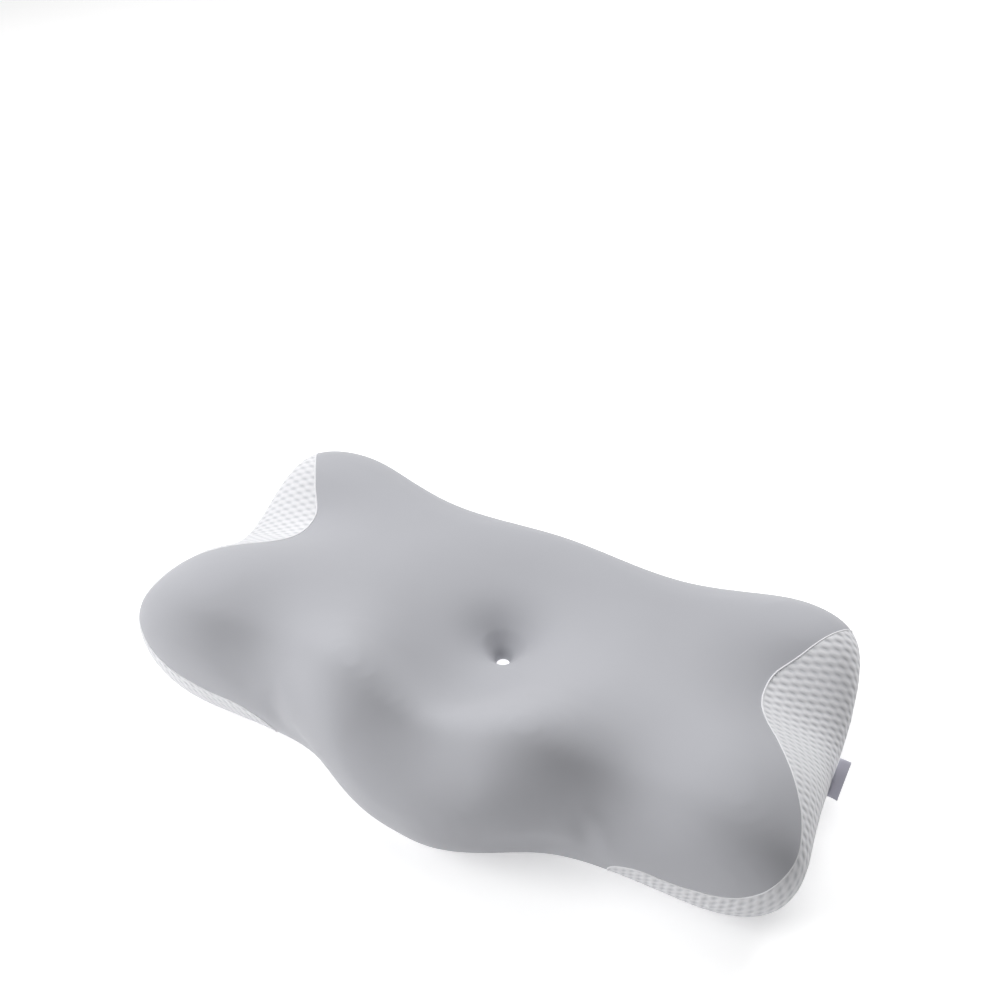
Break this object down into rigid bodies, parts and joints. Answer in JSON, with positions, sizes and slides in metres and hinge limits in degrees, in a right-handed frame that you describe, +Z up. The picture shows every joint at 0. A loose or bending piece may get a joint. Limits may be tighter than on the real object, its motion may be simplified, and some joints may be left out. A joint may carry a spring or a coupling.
{
  "type": "cervical traction pillow",
  "caption": "Contoured memory-foam neck pillow with a raised neck roll, a head hollow, side wings, a vent hole and a knitted zip-off cover",
  "frame": {"origin": "on the flat underside, in the middle of the pillow's length and close to the middle of its depth, 10 mm to the neck side of the vent hole's axis", "axes": "+X along the pillow's length, towards the end with the label; -Y the neck side with the bow, +Y the head side; +Z up, the underside on z = 0"},
  "size_m": [0.6311, 0.3638, 0.1485],
  "materials": {
    "foam": null,
    "liner": "thin white jersey",
    "grey_knit": "smooth grey stretch knit with a soft sheen",
    "white_knit": "white spacer knit with raised oval bubbles",
    "white_trim": "smooth white rolled seam edge",
    "label": "lavender-grey woven tape",
    "zip_tape": "white woven polyester tape",
    "zip_coil": "white nylon coil",
    "zip_metal": "white painted zinc"
  },
  "bodies": {
    "pillow": {"foam_core": "foam", "liner_top": "liner", "liner_bottom": "liner", "top_panel": "grey_knit", "side_panel_right": "white_knit", "side_panel_left": "white_knit", "bottom_panel_front": "white_knit", "bottom_panel_rear": "white_knit", "hole_sleeve": "white_knit", "seam_welt_right": "white_trim", "seam_welt_left": "white_trim", "label_tab": "label", "zip_tape_front": "zip_tape", "zip_tape_rear": "zip_tape", "zip_coil_front": "zip_coil", "zip_coil_rear": "zip_coil", "zip_top_stop_front": "zip_metal", "zip_top_stop_rear": "zip_metal", "zip_bottom_stop": "zip_metal"},
    "slider": {"zip_slider": "zip_metal"},
    "pull": {"zip_pull_tab": "zip_metal"}
  },
  "joints": [
    {"name": "zip_slide", "type": "slide", "parent": "pillow", "child": "slider", "axis": [-1, 0, 0], "range_m": [0, 0.385], "deforming": ["zip_coil_front", "zip_coil_rear"]},
    {"name": "pull_hinge", "type": "hinge", "parent": "slider", "child": "pull", "pos_m": [0.1992, 0.062, 0.00235], "axis": [0, -1, 0], "range_deg": [0, 150]}
  ]
}
